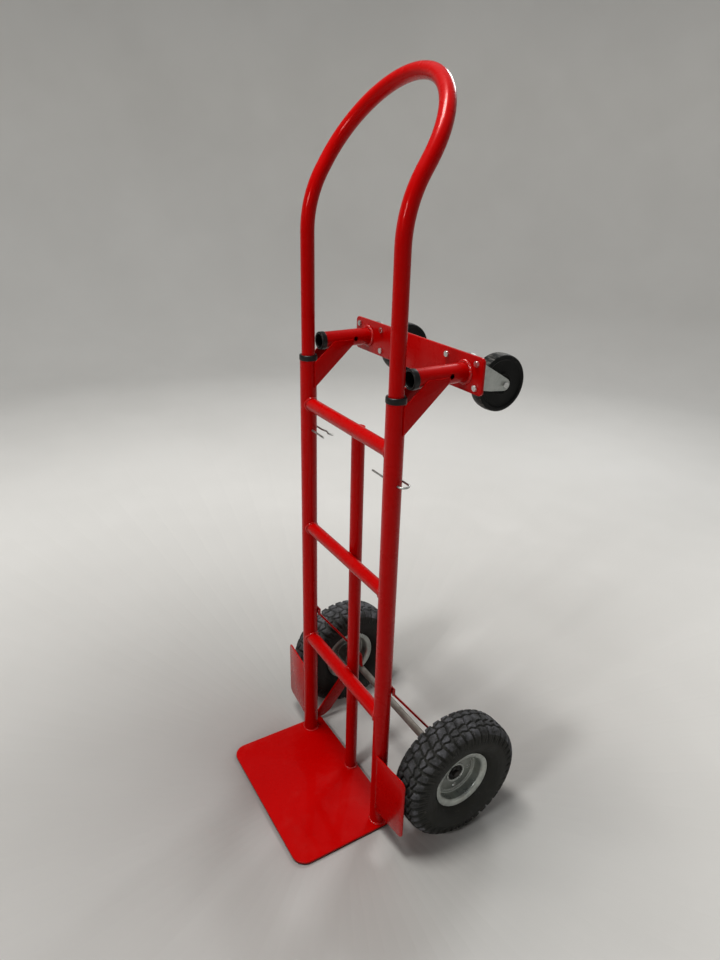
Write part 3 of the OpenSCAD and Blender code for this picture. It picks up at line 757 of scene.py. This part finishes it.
def frame_welds():
    rungs = [("bottom_rung", 2.6), ("middle_rung", 2.3), ("top_rung", 2.3)]
    left = []
    for i, (node, width) in enumerate(rungs):
        left.append(bead(saddle_path(extent(node)[2] / 2, middle(node)[2]), width, seed=i + 3))
    toe_top, toe_rear = TOE_HIGH[2], TOE_HIGH[1]
    foot, socket_end = (TRACK, 0, toe_top), (TRACK, PLATE_LOW[1], SOCKET_Z)
    left.append(bead(ring_path(foot, UPRIGHT_R + 0.4, "Z"), 2.6, seed=11))
    left.append(bead(ring_path(socket_end, UPRIGHT_R + 0.9, "Y"), 4.0, seed=12))
    guard_low, guard_high = box_mm("left_wheel_guard")
    guard_x, margin = TRACK + 10.6, 2
    for y in (-11.2, -14.6):
        left.append(bead([(guard_x, y + 1.0, guard_low[2] + margin),
                          (guard_x, y + 1.0, guard_high[2] - margin)], 1.4, False, 20 + int(y)))
    strap_half, strap_y = 12.5, 15.0
    for x in (-strap_half, strap_half):
        left.append(bead([(TRACK + x, strap_y, STRAP_BEND), (TRACK + x, strap_y, STRAP_TOP)],
                         2.0, False, 31))
    bracket_low, bracket_high = box_mm("left_axle_bracket")
    for x in (bracket_low[0], bracket_high[0] - 0.8):
        left.append(bead([(x, bracket_low[1] + 2, toe_top), (x, toe_rear - 1, toe_top)],
                         1.7, False, 41))
    framed("weld_beads", joined(*left), WELD)

    tube_r, tube_y = extent("centre_tube")[0] / 2, middle("centre_tube")[1]
    runs = [bead(ring_path((0, tube_y, toe_top), tube_r + 0.3, "Z"), 2.3, seed=51)]
    for i, (node, width) in enumerate(rungs[:2]):
        r, z = extent(node)[2] / 2, middle(node)[2]
        edge = sqrt(max(tube_r ** 2 - (tube_y - r) ** 2, 1))
        x = np.linspace(-edge, edge, 24)
        y = tube_y - np.sqrt(tube_r ** 2 - x ** 2)
        rise = np.sqrt(np.maximum(r ** 2 - y ** 2, 0))
        over, under = np.stack([x, y, z + rise], 1), np.stack([x, y, z - rise], 1)
        runs.append(bead(np.concatenate([over, under[::-1][1:-1]]), width, seed=60 + i))
    piece("centre_weld_beads", joined(*runs), "frame", WELD, "enamel")


# ---------------- fasteners
def standing(solid, direction, at):
    """The solid stood on a point, with its +Z in the direction."""
    turn = Vector((0, 0, 1)).rotation_difference(Vector(direction)).to_matrix().to_4x4()
    return moved(solid, Matrix.Translation(Vector(at)) @ turn)


def rod(r, start, end, hair=HAIR):
    """Outline of a plain round bar."""
    return [(hair, start), (r, start), (r, end), (hair, end)]


def hexagon(r, height, bore=0.0, spin=0.0):
    """Hexagon standing on the XY plane, its top corners cut back by a cone."""
    columns, top_share, chamfer = 72, 0.87, 0.22
    inner = r * cos(pi / 6)
    angles = [2 * pi * k / columns for k in range(columns)]
    base, shoulder, top = [], [], []
    for a in angles:
        flat = inner / cos((a + spin) % (pi / 3) - pi / 6)
        drop = chamfer * height * max(0.25, (flat - inner) / (r - inner))
        for row, radius, z in ((base, flat, 0.0), (shoulder, flat, height - drop),
                               (top, min(flat, r * top_share), height)):
            row.append((radius * cos(a), radius * sin(a), z))
    hole = max(bore, HAIR)
    for z in (height, 0):
        top += [(hole * cos(a), hole * sin(a), z) for a in angles]
    return np.array(base + shoulder + top), grid_faces(5, columns)


def threaded_end(r, length):
    """Bolt shank standing on the XY plane with thread grooves and a chamfered tip."""
    pitch, thread_depth, plain, tip = 1.25, 0.55, 0.6, 1.2
    outline = [(HAIR, 0), (r, 0)]
    z = plain
    while z < length - tip - 0.4:
        outline += [(r, z), (r - thread_depth, z + pitch / 2), (r, z + pitch)]
        z += pitch
    outline += [(r - 0.1, length - tip), (r - 1.1, length), (HAIR, length)]
    return revolve(outline, "Z", 40)


def caster_fasteners():
    tip = box_mm("caster_bolts")[1][1]
    front, back = PLATE_LOW[1], PLATE_HIGH[1] + TOP_PLATE
    heads, nuts = [], []
    corners = [(CASTER_X + x, SOCKET_Z + z) for x in (-BOLT_X, BOLT_X) for z in (-BOLT_Z, BOLT_Z)]
    for spin, (x, z) in enumerate(corners, 1):
        heads += [standing(hexagon(HEAD_R, HEAD_HEIGHT, 0, spin), (0, -1, 0), (x, front + 0.05, z)),
                  standing(threaded_end(SHANK_R, tip - back), (0, 1, 0), (x, back - 0.1, z))]
        nut = hexagon(NUT_R, NUT_HEIGHT, NUT_BORE, spin * 2)
        nuts.append(standing(nut, (0, 1, 0), (x, back, z)))
    for name, solids in (("caster_bolt", heads), ("caster_nut", nuts)):
        piece(f"{name}_set", paired(joined(*solids)), "frame", BRIGHT, "zinc", [f"{name}s"])


# ---------------- black rings
def bush_outline():
    """A sleeve down inside the tube with a wider lip above it."""
    bore, sleeve_r, lip_r, sleeve, lip = 12.75, UPRIGHT_R - 1.5, UPRIGHT_R + 1, 40, 10.5
    return fillet([(bore, -sleeve), (sleeve_r, -sleeve), (sleeve_r, 0), (lip_r, 0), (lip_r, lip),
                   (bore, lip)], [0.3, 0.3, 0, 1.2, 2.2, 1.6], True, 5)


def bushes():
    bush = revolve(bush_outline(), "Z", 96)
    collar = moved(bush, Matrix.Translation((TRACK, 0, UPRIGHT_TOP)))
    socket = standing(bush, (0, -1, 0), (TRACK, SOCKET_FRONT, SOCKET_Z))
    framed("collar_ring", collar, PLASTIC, "plastic", ["SIDE_collar"])
    framed("socket_ring", socket, PLASTIC, "plastic", ["SIDE_socket_bush"])


# ---------------- hitch clips
def hitch_clips():
    """Wire with a straight pin through the upright, an eye outside it and a wavy spring leg."""
    z = middle("left_hitch_clip")[2]
    wire_r, eye, eye_x, pin_tip = 1.8, 9.6, TRACK + 17.5, TRACK - 63
    pin = [(x, 0) for x in np.linspace(pin_tip, eye_x, 40)]
    arc = [(eye_x + eye * sin(a), eye - eye * cos(a))
           for a in np.linspace(0, pi, 26)[1:]]
    leg = smooth_line([(eye_x, 2 * eye), (TRACK + 4, 2 * eye), (TRACK - 12, 2 * eye),
                       (TRACK - 22, 2 * eye + 0.6), (TRACK - 31, 22.4), (TRACK - 38, 21.4),
                       (TRACK - 45, 19.2), (TRACK - 51, 20.6), (TRACK - 57, 23.4)], 1.5)
    path = [(x, y, z) for x, y in [*pin, *arc, *leg[1:]]]
    radii = np.full(len(path), wire_r)
    radii[0], radii[-1] = wire_r * 0.55, wire_r * 0.6
    framed("clip_wire", sweep(path, wire_r, 14, radii=radii), ZINC, "zinc", ["SIDE_hitch_clip"],
           "SIDE_clip", sharp=50)


# ---------------- main wheels
def groove(distance, half_width, edge=0.55):
    """1 inside a groove, falling to 0 over its edge."""
    x = np.clip((half_width + edge - np.abs(distance)) / (2 * edge), 0, 1)
    return x * x * (3 - 2 * x)


def tyre_solid():
    """Left tyre with its tread, and a flag for each face that is the top of a block."""
    pitches, columns_a_pitch, block_height = 38, 14, 4.2
    centre_edge, middle_edge = 10.5, 24
    drawn_r, drawn_half = 130, 41
    half = [(53.2, 17.0), (53.4, 20.4), (60.5, 21.4), (65.5, 25.5), (71, 31.5), (78, 36.6),
            (87, 40.0), (95, 40.9), (103, 40.3), (111, 38.9), (117.5, 36.4), (122.4, 33.0),
            (126.0, 28.4), (128.3, 22.4), (129.6, 13), (130, 0)]
    scale = np.array([TYRE_R / drawn_r, TYRE_HALF / drawn_half])
    curve = smooth_line(np.array(half + [(r, -u) for r, u in half[::-1][1:]]) * scale, 1.25)
    tangent = np.gradient(curve, axis=0)
    tangent /= np.linalg.norm(tangent, axis=1)[:, None]
    normal = np.stack([-tangent[:, 1], tangent[:, 0]], axis=1)
    if normal[len(curve) // 2, 0] < 0:
        normal = -normal
    step = np.linalg.norm(np.diff(curve, axis=0), axis=1).mean()
    s = (np.arange(len(curve)) - (len(curve) - 1) / 2) * step

    # t counts pitches round the tyre, and shifted puts the two sides half a pitch apart
    columns = pitches * columns_a_pitch
    t = np.arange(columns)[:, None] / columns_a_pitch
    width = np.abs(s)[None, :]
    shifted = t + (s < 0)[None, :] * 0.5
    pitch_mm = 2 * pi * TYRE_R / pitches

    def zigzag(x):
        return 2 * np.abs(2 * (x - np.floor(x + 0.5))) - 1

    def across(x):
        return (x - np.floor(x + 0.5)) * pitch_mm

    centre_row = width < centre_edge
    outer_row = width >= middle_edge
    middle_row = ~centre_row & ~outer_row
    fade = np.clip((58 - width) / 8, 0, 1)
    sipe_zone = np.clip((width - 44) / 3, 0, 1) * np.clip((63 - width) / 5, 0, 1)
    depth = np.maximum.reduce([
        groove(width - (centre_edge + 1.8 * zigzag(shifted)), 1.7),
        groove(width - (middle_edge + 2.2 * zigzag(shifted + 0.5)), 1.9),
        groove(across(t + 0.016 * s[None, :]), 1.8) * centre_row,
        groove(across(shifted + 0.5 - 0.012 * width), 2.0) * middle_row,
        groove(across(shifted + 0.01 * width), 2.9, 0.9) * outer_row * fade,
        0.32 * groove(across(3 * shifted) / 3, 0.8, 0.6) * sipe_zone])
    side_ribs = 0.5 * groove(width - 58.5, 0.7, 0.7) + 0.45 * groove(width - 79, 0.9, 0.8)
    sink = block_height * depth - side_ribs - 0.35 * groove(width - 62.5, 0.4, 0.5)

    theta = 2 * pi * t / pitches
    r = curve[:, 0][None, :] - normal[:, 0][None, :] * sink
    u = curve[:, 1][None, :] - normal[:, 1][None, :] * sink
    inner = [(62, -17), (80, -33), (103, -34), (121, -22), (123.5, 0), (121, 22), (103, 34),
             (80, 33), (62, 17)]
    inner = np.array(fillet([curve[-1], *inner, curve[0]], 10, steps=3)[1:-1])
    r = np.hstack([r, np.broadcast_to(inner[:, 0], (columns, len(inner)))])
    u = np.hstack([u, np.broadcast_to(inner[:, 1], (columns, len(inner)))])
    verts = np.stack([WHEEL_X + u, AXLE_Y + r * np.cos(theta), AXLE_Z + r * np.sin(theta)], axis=-1)
    uncut, tops_edge = 0.35, 43
    top = np.zeros(r.shape, bool)
    top[:, :len(s)] = (depth < uncut) & (width < tops_edge)
    return (verts.reshape(-1, 3), grid_faces(columns, r.shape[1])), top.reshape(-1)


def rim_outline():
    """Pressed disc with a raised ring, a deep well and a flange, as (radius, distance outward)."""
    sheet, lip = 1.9, 0.9
    line = fillet([(20.5, 1.0), (42.0, 1.0), (43.6, 2.9), (45.4, 2.9), (47.0, 1.4), (49.6, 2.2),
                   (50.5, 5.5), (50.5, 19.8), (53.2, 22.4), (62.6, 24.4)],
                  [0, 0.9, 0.9, 0.9, 1.2, 1.6, 2.0, 2.0, 2.2, 0], steps=5)
    plain = [0.0] * (len(line) - 1)
    return fillet(thicken(line, sheet), plain + [lip, lip] + plain, True, 3)


def ring(low_r, high_r, start, end, corner):
    """Outline of a plain ring."""
    return fillet([(low_r, start), (high_r, start), (high_r, end), (low_r, end)], corner, True, 3)


def on_axle(outline, segments):
    """An outline of (radius, x) turned about the axle of the main wheels."""
    return revolve(outline, "X", segments, (0, AXLE_Y, AXLE_Z))


def tyres_and_rims():
    tyre, block_tops = tyre_solid()
    # the block tops take the lighter tread rubber, dust with a painted sheen on it
    framed("tyre_tread", tyre, TYRE, "tyre", ["SIDE_tyre"], "SIDE_wheel", sharp=60, second=TREAD_DUST_AND_SHEEN,
           second_faces=block_tops)
    hole_r, hole_circle, reach = 3.5, 33, 12
    drill = revolve(rod(hole_r, 0, 2 * reach, HAIR / 2), "Z", 32)
    rim = revolve(rim_outline(), "X", 144)
    at_wheel = Matrix.Translation((WHEEL_X, AXLE_Y, AXLE_Z))
    for side in SIDES:
        holes = []
        for a in (radians(90 * k) for k in range(4)):
            at = (SIDES[side] * WHEEL_X - reach, AXLE_Y + hole_circle * cos(a),
                  AXLE_Z + hole_circle * sin(a))
            holes.append(standing(drill, (1, 0, 0), at))
        for name, half in (("outer_rim", rim), ("inner_rim", mirrored(rim))):
            press = piece(f"{side}_{name}_press", on_side(moved(half, at_wheel), side),
                          f"{side}_wheel", RIM, "rim_paint", [f"{side}_{name}"])
            cut(press, joined(*holes))


def hubs():
    low, high = box_mm("left_hub")
    bore, tube_r, weld_x = 17.5, 20.5, 2.4
    welds = [bead(ring_path((WHEEL_X + x, AXLE_Y, AXLE_Z), tube_r + 0.7, "X"), 1.5, seed=seed)
             for x, seed in ((weld_x, 71), (-weld_x, 72))]
    framed("hub_tube", joined(on_axle(ring(bore, tube_r, low[0], high[0], 0.6), 96), *welds), RIM,
           "rim_paint", ["SIDE_hub"], "SIDE_wheel")


def bearings():
    low, high = box_mm("left_bearings")
    width, bore, inner_race, outer_race, outside = 11, 8.05, 10.6, 14.9, 17.45
    races, seals = [], []
    for start in (high[0] - width, low[0]):
        races += [on_axle(ring(outer_race, outside, start, start + width, 0.5), 72),
                  on_axle(ring(bore, inner_race, start, start + width, 0.5), 72)]
        face, dip = start + width - 0.7, start + width - 1.2
        seal = fillet([(inner_race, start + 0.7), (outer_race, start + 0.7), (outer_race, face),
                       (13.6, face), (13.0, dip), (11.6, dip), (11.2, face), (inner_race, face)],
                      0.25, True, 2)
        seals.append(on_axle(seal, 72))
    # the bearing races take the steel darkened as painted shade
    framed("bearing_races", joined(*races), HUB_SHADE_STEEL, "bare_steel", ["SIDE_bearings"], "SIDE_wheel")
    framed("bearing_seals", joined(*seals), PLASTIC, "plastic", [], "SIDE_wheel")


def valves():
    angle, seat_r, seat_x = radians(120), 49.6, WHEEL_X + 14
    direction = Vector((0, cos(angle), sin(angle)))
    seat = Vector((seat_x, AXLE_Y, AXLE_Z)) + direction * seat_r
    line = fillet([(HAIR, 0), (5.4, 0), (5.2, 2.2), (3.5, 4.2), (3.1, 10), (4.1, 10.6), (4.1, 16.4),
                   (3.2, 17.4), (HAIR, 17.4)], 0.5, True, 3)
    stem = standing(revolve(line, "Z", 40), -direction, seat)
    framed("valve", stem, PLASTIC, "rubber", ["SIDE_valve_stem"], "SIDE_wheel")


def axle_parts():
    axle_r, tip = 8, 1.2
    low, high = box_mm("axle")
    inboard = WHEEL_X - 1
    line = fillet([(HAIR, low[0]), (axle_r, low[0]), (axle_r, -inboard), (axle_r, inboard),
                   (axle_r, high[0]), (HAIR, high[0])], [0, tip, 0, 0, tip, 0], True, 3)
    # the axle's ends inside the hubs take the steel darkened as painted shade
    piece("axle_bar", on_axle(line, 64), "frame", STEEL, "bare_steel", ["axle"],
          second=HUB_SHADE_STEEL, second_faces=lambda p: abs(p.x) > WHEEL_X)
    inner, outer = box_mm("left_axle_bracket")[1][0], box_mm("axle_spacers")[1][0]
    sleeve = on_axle(ring(axle_r + 0.02, 11, inner, outer, 0.5), 56)
    piece("spacer_sleeves", paired(sleeve), "frame", ZINC, "zinc", ["axle_spacers"])
    outer = box_mm("axle_washers")[1][0]
    disc = on_axle(ring(axle_r + 0.05, 12, outer - 2, outer, 0.4), 56)
    piece("washer_pair", paired(disc), "frame", PLASTIC, "plastic", ["axle_washers"])

    eye_r, wire_r, leg_y = 2.6, 1.0, 0.85
    x, top = outer + 2.1, box_mm("cotter_pins")[1][2] - 3.4
    eye = [(x, AXLE_Y + 2.4 * sin(a), top + eye_r - eye_r * cos(a))
           for a in np.linspace(0.5, 2 * pi - 0.5, 22)]
    wires = [sweep(eye, wire_r, 10)]
    for side in (-1, 1):
        leg = [(x, AXLE_Y + side * leg_y, top + 0.3), (x, AXLE_Y + side * leg_y, AXLE_Z - 8.4),
               (x + 0.2, AXLE_Y + side * 3.0, AXLE_Z - 10.6),
               (x + 0.2, AXLE_Y + side * 6.2, AXLE_Z - 11.6)]
        wires.append(sweep(smooth_line(leg, 1.0), 0.8, 10))
    # the split pins take the steel darkened as painted shade
    piece("split_pins", paired(joined(*wires)), "frame", HUB_SHADE_STEEL, "zinc", ["cotter_pins"])


# ---------------- casters
def caster_mounts():
    """Top plate with the pressed seat of its ball race, and the kingpin riveted through both."""
    seat_top = box_mm("left_caster_mount")[1][1]
    half_w, half_h, corner = 49, 29, 6
    outline = rectangle((-half_w, -half_h), (half_w, half_h), [corner] * 4)
    middle_y = PLATE_HIGH[1] + TOP_PLATE / 2
    sheet = prism(outline, TOP_PLATE, "Y", (CASTER_X, middle_y, SOCKET_Z))
    bore, seat_base = 5.1, PLATE_HIGH[1] + TOP_PLATE - 0.1
    seat = fillet([(bore, seat_base), (25, seat_base), (22.5, seat_top - 2.2), (20, seat_top),
                   (bore, seat_top)], [0, 1.5, 2, 1.5, 0], True, 4)
    mount = joined(softened(sheet, 0.6), revolve(seat, "Y", 80, CASTER_PIVOT))
    framed("caster_top", mount, ZINC, "zinc", ["SIDE_caster_mount"])
    tip = box_mm("kingpins")[1][1]
    head, head_r, root = tip - 3, 9, seat_top - 4
    rivet = fillet([(HAIR, root), (KINGPIN_R, root), (KINGPIN_R, head), (head_r, head),
                    (head_r - 0.6, head + 1.8), (4, tip - 0.1), (HAIR, tip)],
                   [0, 0, 0, 0.5, 1, 2, 0], True, 4)
    pin = revolve(rivet, "Y", 48, CASTER_PIVOT)
    piece("kingpin_rivets", paired(pin), "frame", ZINC, "zinc", ["kingpins"])


def caster_forks():
    """A bent sheet cut to the outline of the legs, and the dish over the balls."""
    crown = box_mm("left_ball_race")[1][1]
    fork_low, fork_high = box_mm("left_caster_fork")
    outer, sheet, bend_r = 19, 3, 4
    inset = outer - sheet / 2
    tip, middle_y = fork_high[1] + 2, crown + sheet / 2
    line = fillet([(-inset, tip), (-inset, middle_y), (inset, middle_y), (inset, tip)],
                  [0, bend_r, bend_r, 0], steps=6)
    low_z, high_z = CASTER_Z - 12, SOCKET_Z + 19
    channel = prism(thicken(line, sheet), high_z - low_z, "Z",
                    (CASTER_X, 0, (low_z + high_z) / 2))
    end_r = 10.5
    leg_end = [(CASTER_Y + end_r * cos(a), CASTER_Z + end_r * sin(a))
               for a in np.linspace(radians(-95), radians(62), 18)]
    leg = [(crown - 1, CASTER_Z - 1.5), (CASTER_Y - 30, CASTER_Z - 7.6), *leg_end,
           (crown + 8, SOCKET_Z + 14), (crown + 3, SOCKET_Z + 17), (crown - 1, SOCKET_Z + 17)]
    keep = prism(leg, 60, "X", (CASTER_X, 0, 0))
    bore = revolve(rod(KINGPIN_BORE, crown - 4, crown + 8, HAIR / 2), "Y", 48, CASTER_PIVOT)
    skirt = fork_low[1]
    dish = fillet([(KINGPIN_BORE, crown), (24.6, crown), (25.2, skirt), (27.6, skirt),
                   (27.8, crown - 0.5), (25.5, crown + 2.9), (KINGPIN_BORE, crown + sheet)],
                  [0, 2, 0.4, 0.6, 2.5, 2.5, 0], True, 5)
    dish = revolve(dish, "Y", 96, CASTER_PIVOT)
    for side in SIDES:
        body = f"{side}_caster"
        legs = piece(f"{side}_fork_legs", on_side(channel, side), body, ZINC, "zinc",
                     [f"{body}_fork"])
        cut(legs, on_side(keep, side), "INTERSECT")
        cut(legs, on_side(bore, side))
        soft = legs.modifiers.new("soft edges", "BEVEL")
        soft.width, soft.segments, soft.limit_method = 0.5 * MM, 2, "ANGLE"
        soft.angle_limit = radians(40)
        piece(f"{side}_fork_dish", on_side(dish, side), body, ZINC, "zinc")


def caster_wheels():
    drawn_r, tread_from, skin = 50, 40, 1.6
    face = [(6.1, 15.2), (10.6, 15.2), (12, 12.6), (15.2, 12.2), (15.8, 13.6), (19, 13.6),
            (19.8, 11.4), (39.5, 11.0), (42, 13.8), (46.5, 13.6), (48.8, 11.5), (49.6, 6), (50, 0)]
    face_radii = [0, 0.5, 1, 0.8, 0.5, 0.5, 0.9, 1.6, 1.2, 1.4, 1.6, 3, 6]
    face = [(r * (CASTER_R / drawn_r if r > tread_from else 1), u) for r, u in face]
    outline = fillet(face + [(r, -u) for r, u in face[-2::-1]], face_radii + face_radii[-2::-1],
                     True, 4)

    def on_rim(p):
        return hypot(p.y - CASTER_Y, p.z - CASTER_Z) > CASTER_R - skin
    framed("caster_tread_wheel", revolve(outline, "X", 120, CASTER_CENTRE), CASTER, "caster_rubber",
           ["SIDE_caster_wheel"], "SIDE_roller", second=CASTER_TREAD, second_faces=on_rim)
    tip = box_mm("left_caster_axle")[0][0]
    fork_side, bush_r, bush_half = 19, 5.95, 16
    head_x, nut_x = CASTER_X + fork_side, CASTER_X - fork_side
    head, nut = hexagon(HEAD_R, HEAD_HEIGHT, 0, 0.4), hexagon(NUT_R, NUT_HEIGHT, NUT_BORE, 0.9)
    shank = threaded_end(SHANK_R, nut_x - tip)
    bolt = joined(standing(head, (1, 0, 0), (head_x, CASTER_Y, CASTER_Z)),
                  standing(nut, (-1, 0, 0), (nut_x, CASTER_Y, CASTER_Z)),
                  standing(shank, (-1, 0, 0), (nut_x + 0.1, CASTER_Y, CASTER_Z)),
                  revolve(rod(bush_r, -bush_half, bush_half), "X", 40, CASTER_CENTRE))
    framed("caster_axle_bolt", bolt, BRIGHT, "zinc", ["SIDE_caster_axle"], "SIDE_caster")


toe_plate()
wheel_guards()
caster_plate()
gussets()
axle_straps()
axle_brackets()
frame_welds()
caster_fasteners()
bushes()
hitch_clips()
tyres_and_rims()
hubs()
bearings()
valves()
axle_parts()
caster_mounts()
caster_forks()
caster_wheels()


# ---------------- studio
def studio():
    """Round cyclorama: a flat pale floor that curves up into a wall on every side."""
    radius, bend, height, depth, thickness, hole = 5200, 1800, 5200, -2, 30, 20
    line = [(hole, depth), (radius - bend, depth)]
    line += [(radius - bend + bend * sin(a), depth + bend - bend * cos(a))
             for a in np.linspace(0, pi / 2, 14)[1:]]
    line += [(radius, height)]
    outline = line + [(r + thickness, z - thickness) for r, z in line[::-1]]
    mesh = mesh_of("studio_floor", revolve(outline, "Z", 96))
    mesh.polygons.foreach_set("use_smooth", [True] * len(mesh.polygons))
    mesh.materials.append(studio_floor())
    placed("studio_floor", mesh)

    world = bpy.data.worlds.new("studio")
    world.use_nodes = True
    background = world.node_tree.nodes["Background"]
    background.inputs["Color"].default_value = (0.95, 0.97, 1.0, 1)
    background.inputs["Strength"].default_value = 0.34
    bpy.context.scene.world = world

    def area(name, at, target, size, power, colour=(1, 1, 1)):
        light = bpy.data.lights.new(name, "AREA")
        light.shape, light.size, light.size_y = "RECTANGLE", size[0], size[1]
        light.energy, light.color = power, colour
        lamp = placed(name, light)
        lamp.location = at
        lamp.rotation_euler = (Vector(target) - Vector(at)).to_track_quat("-Z", "Y").to_euler()

    area("ceiling_light", (-0.3, -0.5, 3.6), (0, 0, 0.5), (0.9, 0.9), 105, (1.0, 0.985, 0.96))
    area("front_light", (0.9, -3.2, 2.4), (0, 0, 0.6), (0.8, 0.6), 42)
    area("back_light", (-1.6, 2.6, 2.6), (0, 0, 0.7), (0.9, 0.7), 30, (0.96, 0.98, 1.0))


def photo_camera():
    """The camera solved from the photo's straight edges and ellipses."""
    position = (1.0086, -0.5860, 1.2288)
    yaw, pitch, roll = (radians(a) for a in (58.608, 23.898, 1.414))
    flat = cos(pitch)
    forward = Vector((-sin(yaw) * flat, cos(yaw) * flat, -sin(pitch)))
    level = Vector((cos(yaw), sin(yaw), 0))
    upright = level.cross(forward)
    right = cos(roll) * level + sin(roll) * upright
    up = -sin(roll) * level + cos(roll) * upright
    data = bpy.data.cameras.new("camera")
    data.sensor_width, data.lens = 36, 26.12
    data.clip_start, data.clip_end = 0.05, 60
    camera = placed("camera", data)
    turn = Matrix((right, up, -forward)).transposed().to_4x4()
    camera.matrix_world = Matrix.Translation(position) @ turn
    bpy.context.scene.camera = camera


studio()
photo_camera()
bpy.context.scene.view_settings.view_transform = "Standard"
bpy.context.scene.view_settings.look = "None"

bpy.context.view_layer.update()
